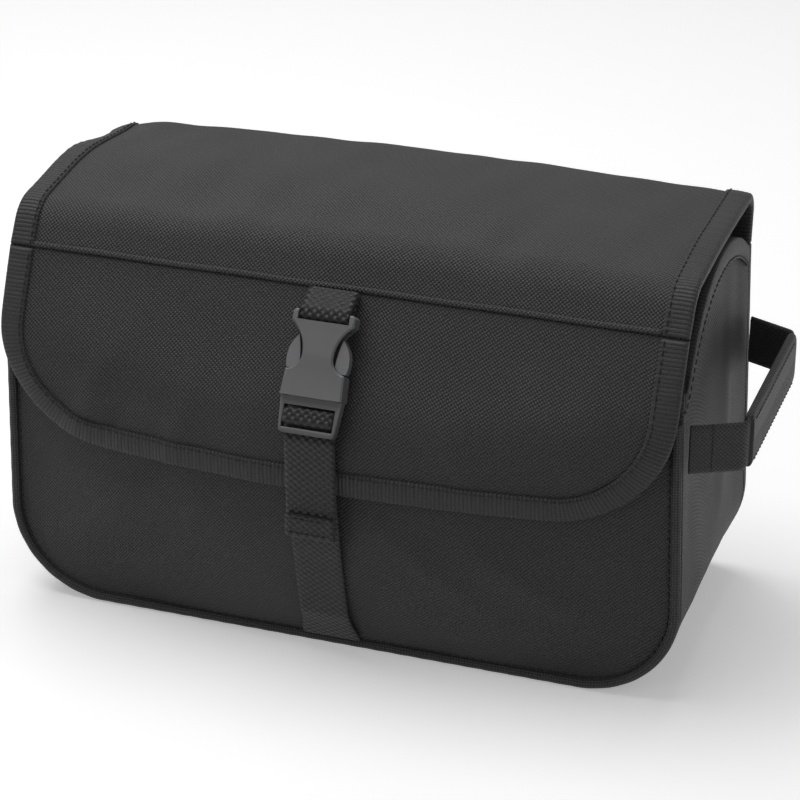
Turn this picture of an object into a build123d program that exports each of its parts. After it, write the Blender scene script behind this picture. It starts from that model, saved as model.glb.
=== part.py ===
"""Flap-over toiletry bag with a side-release buckle and a carrying handle on one end.

Millimetres. X runs along the bag, -Y is its front and +Z is up. The origin is on the surface that
the bag stands on, under the middle of its body.
"""

import os
from math import cos, radians, sin, tan

from build123d import *

# The body, whose sides lean in by the taper over its height
BODY_WIDTH = 284
BODY_DEPTH = 110
BODY_HEIGHT = 171
BODY_TAPER = 6
CORNER_RADIUS = 40
FRONT_BULGE = 19
PANEL = 2.0
LINING = 0.8
PIPING_RADIUS = 2.0
PIPING_STAND = 1.6
CORD_SIDES = 12
MOUTH_BAND = 8
BINDING = 0.8

# The mouth's edge, under the flap's top
FRONT_BELOW_TOP = 40
PEAK_BELOW_TOP = 7
BACK_BELOW_TOP = 22

# The flap, from its front seam down to its lower edge and back over the top
FLAP_WIDTH = 274
FLAP_PANEL = 1.6
FLAP_LINING = 0.8
FLAP_CORNER = 46
FLAP_LENGTH = 73
FLAP_CROWN = 5
TAPE_WIDTH = 10
TAPE_GAP = 0.05
SEAM_SETBACK = 5
SEAM_BELOW_TOP = 18.5
SEAM_GAP = 0.3
FLAP_STAND = 3.8
FLAP_SWELL = 14.5
FLAP_BENDS = (48, 0, 16, 140, 8)

# The webbing and the buckle, which leans back against the flap
WEBBING = 20
WEBBING_THICK = 1.2
WEBBING_GAP = 0.3
TAIL_LENGTH = 47
HEM_LENGTH = 9.5
STRAP_STAND = ((20, 2.8), (54, 2.4), (78, 6.2))
BUCKLE_LEAN = 31
BUCKLE_REACH = 32.4
BUCKLE_RISE = 108.5
FRAME_LENGTH = 14.2
COLLAR_LENGTH = 9.8
WINDOW_LENGTH = 16
SLOT_LENGTH = 1.8
BAR = 2.0
BAR_THICK = 2.8
EAR = 2.1
WAIST = 12.4
SOCKET_THICK = 7.4
SOCKET_WALL = 1.5
RAIL = 1.4
FRAME_THICK = 4.6
TONGUE = 6
LATCH_ROOT = 1.5
LATCH_REACH = 12.5
FIT = 0.3
SNUG = 0.15

# The side handle, a folded fabric strap with a second layer round its grip
HANDLE_RISE = 108
HANDLE_REACH = 19
HANDLE_WIDTH = 20
HANDLE_THICK = 1.6
HANDLE_ENDS = (-51, 52)
HANDLE_BENDS = (-41, 44)
HANDLE_RADIUS = 4
HANDLE_END = 7
GRIP_WALL = 1.1

HALF_WIDTH = BODY_WIDTH / 2
HALF_DEPTH = BODY_DEPTH / 2
FLAP_HALF = FLAP_WIDTH / 2
FLAP_THICK = FLAP_PANEL + FLAP_LINING
FRONT_TOP = BODY_HEIGHT - FRONT_BELOW_TOP
BACK_TOP = BODY_HEIGHT - BACK_BELOW_TOP
BULGE_TOP = FRONT_TOP + 3
SEAM_Y = SEAM_SETBACK - HALF_DEPTH
SEAM_Z = BODY_HEIGHT - SEAM_BELOW_TOP
FLAP_EDGE = SEAM_Z - FLAP_LENGTH
FAR = 4 * BODY_HEIGHT
STATIONS = (-1, -0.6, 0, 0.6, 1)


def half_width(height):
    """Half the body's width at this height."""
    return HALF_WIDTH - BODY_TAPER * height / BODY_HEIGHT


def front_wall(height, station=0, inset=0):
    """Where the stuffed front stands along Y, on an arc that is deepest at the middle of the bag."""
    half = BULGE_TOP / 2
    depth = FRONT_BULGE * (1 - station**2)
    if depth == 0:
        return inset - HALF_DEPTH
    radius = (half**2 + depth**2) / (2 * depth)
    rise = min(max(height, 0), BULGE_TOP) - half
    return radius - depth - HALF_DEPTH - ((radius - inset) ** 2 - rise**2) ** 0.5


def moved_in(points, distance):
    """The same run of lines moved square to itself, to the right of its direction."""
    places = [Vector(*point) for point in points]
    sides = []
    for start, end in zip(places, places[1:]):
        along = (end - start).normalized()
        sides.append(Vector(along.Y, -along.X))
    before = [sides[0]] + sides
    after = sides + [sides[-1]]
    moved = []
    for place, one, other in zip(places, before, after):
        spot = place + (one + other) * (distance / (1 + one.dot(other)))
        moved.append((spot.X, spot.Y))
    return moved


def body_outline(inset):
    """The body seen from the front, with round lower corners, as a solid through its depth."""
    foot = half_width(inset) - inset
    top = half_width(FAR) - inset
    with BuildPart() as through:
        with BuildSketch(Plane.XZ) as face:
            with BuildLine():
                Polyline((-top, FAR), (-foot, inset), (foot, inset), (top, FAR), close=True)
            make_face()
            fillet(face.vertices().group_by(Axis.Y)[0], CORNER_RADIUS - inset)
        extrude(amount=FAR, both=True)
    return through.part


def body_block(inset):
    """The space inside the body's skin, this far in from it and open-ended above the mouth."""
    back = HALF_DEPTH - inset
    with BuildPart() as block:
        for station in STATIONS:
            foot, middle, top = [
                (front_wall(share * BULGE_TOP, station, inset), share * BULGE_TOP)
                for share in (0, 0.5, 1)
            ]
            with BuildSketch(Plane.YZ.offset(station * HALF_WIDTH)):
                with BuildLine():
                    if foot[0] == middle[0]:
                        Line(foot, top)
                    else:
                        ThreePointArc(foot, middle, top)
                    Polyline(top, (top[0], FAR), (back, FAR), (back, -FAR), (foot[0], -FAR), foot)
                make_face()
        loft()
        add(body_outline(inset), mode=Mode.INTERSECT)
    return block.part


def above_mouth(lower):
    """Everything over the mouth's edge, or over a line this far below it."""
    front = (2 * PANEL - HALF_DEPTH, FRONT_TOP - lower)
    peak = (0, BODY_HEIGHT - PEAK_BELOW_TOP - lower)
    back = (HALF_DEPTH - 3 * PANEL, BACK_TOP - lower)
    with BuildPart() as space:
        with BuildSketch(Plane.YZ):
            with BuildLine():
                ThreePointArc(front, peak, back)
                Polyline(back, (FAR, back[1]), (FAR, FAR), (-FAR, FAR), (-FAR, front[1]), front)
            make_face()
        extrude(amount=FAR, both=True)
    return space.part


def slab(low, high):
    """A slice of space between two places along Y."""
    with BuildPart() as slice_of_space:
        with BuildSketch(Plane.XZ.offset(-low)):
            Rectangle(2 * FAR, 2 * FAR)
        extrude(amount=low - high)
    return slice_of_space.part


def piping(side, top):
    """The covered cord along one U-shaped seam, side -1 for the front and 1 for the back."""
    low = PIPING_RADIUS
    foot = half_width(low) - low
    head = half_width(top) - low
    plane = Plane.XZ.offset(-side * (HALF_DEPTH + PIPING_STAND))
    with BuildPart() as cord:
        with BuildLine(plane) as seam:
            FilletPolyline((-head, top), (-foot, low), (foot, low), (head, top), radius=CORNER_RADIUS - low)
        with BuildSketch(Plane(origin=seam.line @ 0, z_dir=seam.line % 0)):
            RegularPolygon(PIPING_RADIUS, CORD_SIDES)
        sweep()
    return cord.part


def beside_seams():
    """The space outside both U-shaped seams, where the panels' edges are folded in."""
    reach = HALF_DEPTH + PIPING_STAND - PIPING_RADIUS
    with BuildPart() as space:
        add(slab(-FAR, -reach))
        add(slab(reach, FAR))
        add(body_outline(PIPING_RADIUS), mode=Mode.SUBTRACT)
    return space.part


def flap_corners(station):
    """The corners of the flap's outer face across the bag, from its lower edge to the back seam."""
    middle = 1 - station**2
    low = FLAP_EDGE - TAPE_WIDTH
    return [
        (front_wall(low, station) - FLAP_STAND, low),
        (SEAM_Y - FLAP_SWELL - 0.71 * FRONT_BULGE * middle, SEAM_Z - 31.5 - 16.8 * middle),
        (SEAM_Y, SEAM_Z),
        (SEAM_Y + 9, BODY_HEIGHT - 4 + 0.5 * FLAP_CROWN * middle),
        (-SEAM_SETBACK, BODY_HEIGHT + FLAP_CROWN * middle),
        (HALF_DEPTH + 1, BODY_HEIGHT + 0.4 * FLAP_CROWN * middle),
        (HALF_DEPTH - 0.4, BACK_TOP + 2 * SEAM_GAP),
    ]


def flap_face(inset):
    """The flap seen from the front, with round lower corners, as a solid through its depth."""
    half = FLAP_HALF - inset
    low = FLAP_EDGE + inset
    with BuildPart() as through:
        with BuildSketch(Plane.XZ) as face:
            with BuildLine():
                Polyline((-half, FAR), (-half, low), (half, low), (half, FAR), close=True)
            make_face()
            fillet(face.vertices().group_by(Axis.Y)[0], FLAP_CORNER - inset)
        extrude(amount=FAR, both=True)
    return through.part


def flap_layer(depth, thickness, inset):
    """A sheet of the flap, starting this deep under its outer face and cut this far inside its edge."""
    with BuildPart() as sheet:
        for station in STATIONS:
            corners = flap_corners(station)
            outer = moved_in(corners, depth)
            inner = moved_in(corners, depth + thickness)
            with BuildSketch(Plane.YZ.offset(station * HALF_WIDTH)):
                with BuildLine():
                    FilletPolyline(*outer, radius=[max(bend - depth, 0) for bend in FLAP_BENDS])
                    FilletPolyline(*inner, radius=[max(bend - depth - thickness, 0) for bend in FLAP_BENDS])
                    Line(outer[0], inner[0])
                    Line(outer[-1], inner[-1])
                make_face()
        loft()
        add(flap_face(inset), mode=Mode.INTERSECT)
    return sheet.part


seam_rise = Vector(0, 0.53, 0.85)
seam_plane = Plane(origin=(0, SEAM_Y, SEAM_Z), x_dir=(1, 0, 0), z_dir=seam_rise)
seam_top = seam_plane.offset(SEAM_GAP / 2)
seam_front = seam_plane.offset(-SEAM_GAP / 2)


def half_of(solid, plane, keep):
    """The part of a solid on one side of a plane."""
    with BuildPart() as piece:
        add(solid)
        split(bisect_by=plane, keep=keep)
    return piece.part


def finish(piece, name):
    """Name one sub-part and write it."""
    piece.label = name
    export_step(piece, f"parts/{name}.step")


# The buckle lies on a leaning plane, with its outer face at zero and its length running up
lean = radians(BUCKLE_LEAN)
buckle_face = Plane(
    origin=(0, -HALF_DEPTH - BUCKLE_REACH, BUCKLE_RISE),
    x_dir=(1, 0, 0),
    z_dir=(0, -cos(lean), sin(lean)),
)

# Heights along the buckle, from the ladder frame's lower end up to the socket's bar
LOWER_SLOT = BAR + 0.2
CENTRE_BAR = LOWER_SLOT + 3.2
UPPER_SLOT = CENTRE_BAR + 2.6
CROSS_BAR = UPPER_SLOT + 2.8
ROOT_TOP = FRAME_LENGTH + 2.6
COLLAR_TOP = FRAME_LENGTH + COLLAR_LENGTH
WINDOW_TOP = COLLAR_TOP + WINDOW_LENGTH
SLOT_LOW = WINDOW_TOP + 3.2
SLOT_TOP = SLOT_LOW + SLOT_LENGTH
BUCKLE_LENGTH = SLOT_TOP + BAR
LOWER_MIDDLE = (LOWER_SLOT + CENTRE_BAR) / 2
UPPER_MIDDLE = (UPPER_SLOT + CROSS_BAR) / 2

# Widths and depths of the buckle
INSIDE = WEBBING + 2 * FIT
SOCKET_HALF = INSIDE / 2 + EAR
MID_DEPTH = SOCKET_THICK / 2
CAVITY_THICK = SOCKET_THICK - 2 * SOCKET_WALL
CAVITY_HALF = SOCKET_HALF - SOCKET_WALL
ARM_THICK = CAVITY_THICK - 2 * FIT
FRAME_HALF = INSIDE / 2 + RAIL
FRAME_DEPTH = MID_DEPTH - FRAME_THICK / 2 + FIT
LATCH_SIDE = CAVITY_HALF - SNUG - LATCH_ROOT - 0.3


def buckle_point(along, deep):
    """A place in the bag's middle plane, given up the buckle and in from its outer face."""
    spot = buckle_face.from_local_coords(Vector(0, along, -deep))
    return (spot.Y, spot.Z)


def window_edge(side):
    """One side of the socket, from its open end up past the latch window to the webbing slot."""
    hip = (side * WAIST / 2, COLLAR_TOP + 6.2)
    shoulder = (side * (SOCKET_HALF - 0.6), COLLAR_TOP)
    ear = (side * SOCKET_HALF, WINDOW_TOP + 2.6)
    Line((side * SOCKET_HALF, FRAME_LENGTH), shoulder)
    TangentArc(hip, shoulder, tangent=(0, -1))
    TangentArc(hip, ear, tangent=(0, 1))
    Polyline(ear, (side * SOCKET_HALF, BUCKLE_LENGTH - 1), (side * (SOCKET_HALF - 1), BUCKLE_LENGTH))


def latch(side):
    """One latch: a round root to turn on, a shoulder that catches on the collar and a pad to press."""
    outer = LATCH_SIDE + LATCH_ROOT
    inner = LATCH_SIDE - LATCH_ROOT
    pad_low = (side * (LATCH_REACH - 0.6), COLLAR_TOP + 2 * FIT)
    pad_middle = (side * LATCH_REACH, COLLAR_TOP + 5.5)
    tip = (side * (LATCH_REACH - 3.6), WINDOW_TOP - 2.6)
    hollow = (side * (inner - 0.1), COLLAR_TOP + 6)
    neck = (side * inner, COLLAR_TOP - 3)
    with BuildPart() as arm:
        with BuildSketch(buckle_face.offset(-SOCKET_WALL - FIT)):
            with BuildLine():
                Polyline(neck, (side * inner, ROOT_TOP), (side * outer, ROOT_TOP))
                Polyline((side * outer, ROOT_TOP), (side * outer, COLLAR_TOP + 2 * FIT), pad_low)
                ThreePointArc(pad_low, pad_middle, tip)
                ThreePointArc(tip, hollow, neck)
            make_face()
            with Locations((side * LATCH_SIDE, ROOT_TOP)):
                Circle(LATCH_ROOT)
        extrude(amount=-ARM_THICK)
    return arm.part


def ribbon(corners):
    """Webbing that runs through these places and bends, each given with its radius."""
    places = [place for place, radius in corners]
    radii = [radius for place, radius in corners[1:-1]]
    with BuildPart() as tape:
        with BuildSketch(Plane.YZ):
            with BuildLine():
                FilletPolyline(*places, radius=radii)
            trace(line_width=WEBBING_THICK)
        extrude(amount=WEBBING / 2, both=True)
    return tape.part


os.makedirs("parts", exist_ok=True)

# Body panels
outer_block = body_block(0)
panel_block = body_block(PANEL)
lining_block = body_block(PANEL + LINING)
front_cord = piping(-1, FRONT_TOP - MOUTH_BAND - 1)
back_cord = piping(1, BACK_TOP - 1)

with BuildPart() as skin:
    add(outer_block)
    add(panel_block, mode=Mode.SUBTRACT)
    add(above_mouth(0), mode=Mode.SUBTRACT)
    add(beside_seams(), mode=Mode.SUBTRACT)
    add(front_cord, mode=Mode.SUBTRACT)
    add(back_cord, mode=Mode.SUBTRACT)

with BuildPart() as front_panel:
    add(skin.part)
    add(slab(-FAR, PANEL - HALF_DEPTH), mode=Mode.INTERSECT)

with BuildPart() as gusset:
    add(skin.part)
    add(slab(PANEL - HALF_DEPTH, HALF_DEPTH - PANEL), mode=Mode.INTERSECT)

with BuildPart() as back_panel:
    add(skin.part)
    add(slab(HALF_DEPTH - PANEL, FAR), mode=Mode.INTERSECT)

with BuildPart() as lining:
    add(panel_block)
    add(lining_block, mode=Mode.SUBTRACT)
    add(above_mouth(0), mode=Mode.SUBTRACT)
    add(front_cord, mode=Mode.SUBTRACT)
    add(back_cord, mode=Mode.SUBTRACT)

# Tape folded over the mouth's front and side edges
with BuildPart() as mouth_binding:
    add(body_block(-BINDING))
    add(body_block(PANEL + LINING + BINDING), mode=Mode.SUBTRACT)
    add(above_mouth(-BINDING), mode=Mode.SUBTRACT)
    add(above_mouth(MOUTH_BAND), mode=Mode.INTERSECT)
    add(slab(-FAR, HALF_DEPTH - 2 * PANEL - LINING), mode=Mode.INTERSECT)
    add(skin.part, mode=Mode.SUBTRACT)
    add(lining.part, mode=Mode.SUBTRACT)

finish(front_panel.part, "front_panel")
finish(gusset.part, "gusset")
finish(back_panel.part, "back_panel")
finish(lining.part, "lining")
finish(mouth_binding.part, "mouth_binding")
finish(front_cord, "front_piping")
finish(back_cord, "back_piping")

# Flap sheets, split where the flap folds at its front seam
flap_sheet = flap_layer(0, FLAP_PANEL, BINDING)
flap_inside = flap_layer(FLAP_PANEL, FLAP_LINING, BINDING)
with BuildPart() as flap_tape:
    add(flap_layer(-BINDING, FLAP_THICK + 2 * BINDING, 0))
    add(flap_face(TAPE_WIDTH), mode=Mode.SUBTRACT)
    add(flap_layer(-TAPE_GAP, FLAP_THICK + 2 * TAPE_GAP, BINDING - TAPE_GAP), mode=Mode.SUBTRACT)

finish(half_of(flap_sheet, seam_front, Keep.BOTTOM), "flap_front_panel")
finish(half_of(flap_inside, seam_front, Keep.BOTTOM), "flap_front_lining")
finish(half_of(flap_tape.part, seam_front, Keep.BOTTOM), "flap_front_binding")
finish(half_of(flap_sheet, seam_top, Keep.TOP), "flap_top_panel")
finish(half_of(flap_inside, seam_top, Keep.TOP), "flap_top_lining")
tapes = half_of(flap_tape.part, seam_top, Keep.TOP).solids().sort_by(Axis.X)
finish(tapes[0], "flap_top_binding_left")
finish(tapes[-1], "flap_top_binding_right")

# Socket: an hourglass shell, open below, with a window on each side for the latches
with BuildPart() as buckle_socket:
    with BuildSketch(buckle_face):
        with BuildLine():
            window_edge(1)
            window_edge(-1)
            Line((-SOCKET_HALF, FRAME_LENGTH), (SOCKET_HALF, FRAME_LENGTH))
            Line((1 - SOCKET_HALF, BUCKLE_LENGTH), (SOCKET_HALF - 1, BUCKLE_LENGTH))
        make_face()
    extrude(amount=-SOCKET_THICK)
    flats = buckle_socket.faces().sort_by(Axis(buckle_face.origin, buckle_face.z_dir))
    rims = flats[0].edges() + flats[-1].edges()
    chamfer(rims.filter_by(lambda edge: edge.center().Z > buckle_face.origin.Z + FRAME_LENGTH), length=0.6)
    with BuildSketch(buckle_face.offset(-SOCKET_WALL)):
        with Locations((0, (FRAME_LENGTH + WINDOW_TOP + 1) / 2)):
            Rectangle(2 * CAVITY_HALF, WINDOW_TOP + 1 - FRAME_LENGTH)
    extrude(amount=-CAVITY_THICK, mode=Mode.SUBTRACT)
    with BuildSketch(buckle_face):
        with Locations((0, (SLOT_LOW + SLOT_TOP) / 2)):
            Rectangle(INSIDE, SLOT_LENGTH)
    extrude(amount=-SOCKET_THICK, mode=Mode.SUBTRACT)
    with BuildSketch(buckle_face, buckle_face.offset(-MID_DEPTH - BAR_THICK / 2)):
        with Locations((0, SLOT_TOP + BAR)):
            Rectangle(INSIDE, 2 * BAR)
    extrude(amount=BAR_THICK / 2 - MID_DEPTH, mode=Mode.SUBTRACT)

# Plug: a ladder frame for the webbing, a root inside the collar and a tongue up its middle
with BuildPart() as buckle_plug:
    with BuildSketch(buckle_face.offset(-FRAME_DEPTH)) as frame:
        with BuildLine():
            low = (FRAME_HALF - 0.4, 0)
            high = (SOCKET_HALF, FRAME_LENGTH - SNUG)
            Polyline((-low[0], 0), low, high, (-high[0], high[1]), close=True)
        make_face()
        fillet(frame.vertices().group_by(Axis.Y)[0], 2.2)
        with Locations((0, LOWER_MIDDLE)):
            Rectangle(INSIDE, CENTRE_BAR - LOWER_SLOT, mode=Mode.SUBTRACT)
        with Locations((0, UPPER_MIDDLE)):
            Rectangle(INSIDE, CROSS_BAR - UPPER_SLOT, mode=Mode.SUBTRACT)
    extrude(amount=-FRAME_THICK)
    ends = buckle_plug.edges().filter_by(lambda edge: edge.center().Z < buckle_face.origin.Z + BAR)
    fillet(ends.filter_by(Axis.X).filter_by(lambda edge: edge.length > WEBBING / 2), radius=0.8)
    with BuildSketch(buckle_face.offset(-FRAME_DEPTH)):
        with Locations((0, (CENTRE_BAR + UPPER_SLOT) / 2)):
            Rectangle(INSIDE, UPPER_SLOT - CENTRE_BAR)
    extrude(amount=-WEBBING_THICK / 2 - FIT, mode=Mode.SUBTRACT)
    with BuildSketch(buckle_face.offset(-SOCKET_WALL - FIT)) as inner_plug:
        with Locations((0, (CROSS_BAR + ROOT_TOP) / 2)):
            Rectangle(2 * (LATCH_SIDE + 0.4), ROOT_TOP - CROSS_BAR)
        with Locations((0, (ROOT_TOP + WINDOW_TOP - 4) / 2)):
            Rectangle(TONGUE, WINDOW_TOP - 4 - ROOT_TOP)
        fillet(inner_plug.vertices().group_by(Axis.Y)[-1], 1.4)
        with Locations((-LATCH_SIDE, ROOT_TOP), (LATCH_SIDE, ROOT_TOP)):
            Circle(LATCH_ROOT + SNUG, mode=Mode.SUBTRACT)
    extrude(amount=-ARM_THICK)

finish(buckle_socket.part, "buckle_socket")
finish(buckle_plug.part, "buckle_plug")
finish(latch(-1), "latch_left")
finish(latch(1), "latch_right")


# Upper webbing: a loop from the flap's seam round the socket's bar
seam_spot = buckle_face.to_local_coords(Vector(0, SEAM_Y, SEAM_Z))
lay = BAR_THICK / 2 + FIT + WEBBING_THICK / 2
front_lay = MID_DEPTH - lay
back_lay = MID_DEPTH + lay
slot_middle = (SLOT_LOW + SLOT_TOP) / 2
upper_webbing = ribbon((
    (buckle_point(seam_spot.Y - 0.6, -seam_spot.Z - 2.4), 0),
    (buckle_point(BUCKLE_LENGTH + 0.9, front_lay), 1),
    (buckle_point(slot_middle, front_lay), 1),
    (buckle_point(slot_middle, back_lay), 1),
    (buckle_point(BUCKLE_LENGTH + 0.9, back_lay), 1),
    (buckle_point(seam_spot.Y - 0.8, -seam_spot.Z - 1), 0),
))

# Lower webbing: from the bottom seam up behind the plug, round its bars and down to a hemmed end
standing = HALF_DEPTH + PIPING_STAND + PIPING_RADIUS + FIT + WEBBING_GAP + WEBBING_THICK / 2
layer = WEBBING_THICK + WEBBING_GAP
outer_run = FRAME_DEPTH + FRAME_THICK + FIT + WEBBING_THICK / 2
inner_run = outer_run + layer
front_run = FRAME_DEPTH
strap = [((front_wall(height) - stand, height), 12) for height, stand in STRAP_STAND]
tail_face = strap[-1][0][0] - layer
tail_end = BUCKLE_RISE - TAIL_LENGTH
lower_webbing = ribbon((
    ((-standing, 2 * PIPING_RADIUS + 1.2), 0),
    *strap,
    (buckle_point(-1.5, inner_run), 4),
    (buckle_point(UPPER_MIDDLE, inner_run), 1),
    (buckle_point(UPPER_MIDDLE, front_run), 1),
    (buckle_point(LOWER_MIDDLE, front_run), 1),
    (buckle_point(LOWER_MIDDLE, outer_run), 1),
    (buckle_point(-1.5 - layer * tan(lean / 2), outer_run), 3),
    ((tail_face, strap[-1][0][1] + 4), 8),
    ((tail_face, tail_end), 0.7),
    ((tail_face - layer, tail_end), 0.7),
    ((tail_face - layer, tail_end + HEM_LENGTH), 0),
))
finish(upper_webbing, "upper_webbing")
finish(lower_webbing, "lower_webbing")

# Handle: a strap that stands off one end of the bag, its two sewn ends and a sleeve round its grip
handle_root = half_width(HANDLE_RISE - HANDLE_WIDTH / 2) + WEBBING_GAP + HANDLE_THICK / 2
handle_out = handle_root + HANDLE_REACH
low_plane = Plane.XY.offset(HANDLE_RISE - HANDLE_WIDTH / 2)
with BuildPart() as band:
    with BuildSketch(low_plane):
        with BuildLine():
            FilletPolyline(
                (handle_root, HANDLE_ENDS[0]),
                (handle_out, HANDLE_BENDS[0]),
                (handle_out, HANDLE_BENDS[1]),
                (handle_root, HANDLE_ENDS[1]),
                radius=HANDLE_RADIUS,
            )
        trace(line_width=HANDLE_THICK)
    extrude(amount=HANDLE_WIDTH)
sewn = Plane.YZ.offset(handle_root + HANDLE_END)
handle_strap = half_of(band.part, sewn, Keep.TOP)
handle_ends = half_of(band.part, sewn, Keep.BOTTOM).solids().sort_by(Axis.Y)

grip_middle = (HANDLE_BENDS[0] + HANDLE_BENDS[1]) / 2
grip_length = HANDLE_BENDS[1] - HANDLE_BENDS[0] - 2 * HANDLE_RADIUS
with BuildPart() as handle_grip:
    with BuildSketch(Plane.XZ.offset(grip_length / 2 - grip_middle)) as sleeve:
        with Locations((handle_out, HANDLE_RISE)):
            hollow = (HANDLE_THICK + 2 * SNUG, HANDLE_WIDTH + 2 * SNUG)
            RectangleRounded(hollow[0] + 2 * GRIP_WALL, hollow[1] + 2 * GRIP_WALL, 1.6)
            Rectangle(*hollow, mode=Mode.SUBTRACT)
    extrude(amount=-grip_length)

finish(handle_strap, "handle_strap")
finish(handle_ends[0], "handle_end_front")
finish(handle_ends[-1], "handle_end_rear")
finish(handle_grip.part, "handle_grip")
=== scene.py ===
import math

import bpy
import numpy as np
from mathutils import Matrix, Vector


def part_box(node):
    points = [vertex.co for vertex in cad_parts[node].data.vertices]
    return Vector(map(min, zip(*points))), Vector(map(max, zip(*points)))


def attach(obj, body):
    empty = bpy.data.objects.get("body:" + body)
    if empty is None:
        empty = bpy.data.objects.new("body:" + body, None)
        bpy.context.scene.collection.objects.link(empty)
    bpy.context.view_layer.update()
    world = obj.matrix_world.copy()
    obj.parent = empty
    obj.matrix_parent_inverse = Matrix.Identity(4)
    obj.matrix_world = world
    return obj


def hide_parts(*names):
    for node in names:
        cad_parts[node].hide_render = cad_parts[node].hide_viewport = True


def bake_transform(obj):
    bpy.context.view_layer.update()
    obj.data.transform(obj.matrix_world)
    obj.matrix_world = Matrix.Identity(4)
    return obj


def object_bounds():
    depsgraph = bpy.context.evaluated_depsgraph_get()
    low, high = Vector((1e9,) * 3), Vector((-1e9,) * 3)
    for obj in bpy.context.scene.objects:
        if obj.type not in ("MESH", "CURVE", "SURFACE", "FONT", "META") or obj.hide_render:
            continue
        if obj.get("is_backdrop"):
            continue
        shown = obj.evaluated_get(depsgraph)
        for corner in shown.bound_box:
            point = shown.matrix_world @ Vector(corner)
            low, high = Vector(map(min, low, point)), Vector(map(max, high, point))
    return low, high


bl_info = {
    "name": "Toiletry Bag",
    "version": (1, 0, 0),
    "blender": (4, 5, 0),
    "location": "3D View > Sidebar > Bag",
    "description": "Dresses a flap-over toiletry bag in woven cloth, tape, webbing and moulded plastic",
    "category": "Add Mesh",
}

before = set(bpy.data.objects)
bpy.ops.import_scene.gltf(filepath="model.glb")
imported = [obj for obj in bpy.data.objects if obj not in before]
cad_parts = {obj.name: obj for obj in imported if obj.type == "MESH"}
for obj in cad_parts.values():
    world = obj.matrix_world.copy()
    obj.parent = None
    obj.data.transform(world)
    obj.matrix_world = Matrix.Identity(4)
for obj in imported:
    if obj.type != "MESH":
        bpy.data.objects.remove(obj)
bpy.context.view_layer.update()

# The bag's sizes in millimetres, as the source of the part gives them
BODY_HALF = 142.0
DEPTH_HALF = 55.0
BODY_HEIGHT = 171.0
BODY_TAPER = 6.0
CORNER = 40.0
BULGE = 19.0
BULGE_TOP = 134.0
FRONT_TOP = 131.0
BACK_TOP = 149.0
MOUTH_POINTS = ((-51.0, 131.0), (0.0, 164.0), (49.0, 149.0))
PANEL = 2.0
LINED = 2.2
PIPING_RADIUS = 2.0
PIPING_Y = 56.6
FLAP_HALF = 137.0
FLAP_LOW = 79.5
FLAP_CORNER = 46.0
FLAP_CLOTH = 1.6
FLAP_THICK = 2.4
TAPE = 0.8
TAPE_WIDTH = 10.0
SEAM = (-50.0, 152.5)
FLAP_BENDS = (48, 0, 16, 140, 8)
WEBBING_HALF = 10.0
WEBBING_THICK = 1.2
BUCKLE_LEAN = math.radians(31)
BUCKLE_SPOT = (-87.4, 108.5)
HANDLE_RISE = 108.0
HANDLE_HALF = 10.0
HANDLE_THICK = 1.6
BAG_MIDDLE = np.array((0.0, 0.0, 85.0))
MM = 0.001

# Soft folds, each a place on its cloth, then its turn in degrees, length, width and height
BODY_FOLDS = (
    ((-92, 52), 38, 30, 5, 1.8),
    ((-78, 40), 30, 26, 5, -1.4),
    ((-52, 60), 64, 22, 4, 1.2),
    ((40, 52), -40, 30, 6, 1.2),
    ((84, 46), -30, 26, 6, 1.4),
    ((22, 34), 75, 20, 5, -0.9),
)
END_FOLDS = (((18, 90), 80, 40, 7, -1.6),)
TOP_FOLDS = (
    ((-62, -16), 86, 36, 8, -1.5),
    ((-44, -18), 88, 34, 7, 1.0),
    ((62, -20), 80, 30, 9, -0.8),
)
FRONT_FOLDS = (
    ((-96, 104), 62, 26, 5, 1.2),
    ((-84, 96), 55, 22, 4, -0.9),
    ((-58, 94), 70, 18, 5, 0.9),
    ((54, 100), -60, 24, 6, 0.8),
    ((96, 108), -50, 22, 6, 0.9),
)

# The camera, fitted to the bag's straight seams
CAMERA_TURN = math.radians(19.14)
CAMERA_RISE = math.radians(26.36)
CAMERA_AWAY = 1.111
CAMERA_LENS = 123.3
CAMERA_AIM = (0.0081, 0.0, 0.0835)


def half_width(z):
    """Half the body's width at a height, because its sides lean in."""
    return BODY_HALF - BODY_TAPER * np.asarray(z, float) / BODY_HEIGHT


def front_wall(z, x, inset=0.0):
    """Where the stuffed front stands along Y."""
    station = np.clip(np.abs(x) / BODY_HALF, 0, 1)
    depth = np.maximum(BULGE * (1 - station**2), 1e-3)
    half = BULGE_TOP / 2
    radius = (half**2 + depth**2) / (2 * depth)
    rise = np.clip(z, 0, BULGE_TOP) - half
    return radius - depth - DEPTH_HALF - np.sqrt((radius - inset) ** 2 - rise**2)


def mouth_height(y):
    """The mouth's edge over the gusset: an arc through its front, its peak and its back."""
    (ay, az), (by, bz), (cy, cz) = MOUTH_POINTS
    lean = np.array(((ay - by, az - bz), (by - cy, bz - cz)))
    level = 0.5 * np.array((ay**2 - by**2 + az**2 - bz**2, by**2 - cy**2 + bz**2 - cz**2))
    middle = np.linalg.solve(lean, level)
    radius = math.hypot(ay - middle[0], az - middle[1])
    run = np.clip(y, ay, cy) - middle[0]
    return middle[1] + np.sqrt(radius**2 - run**2)


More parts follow.
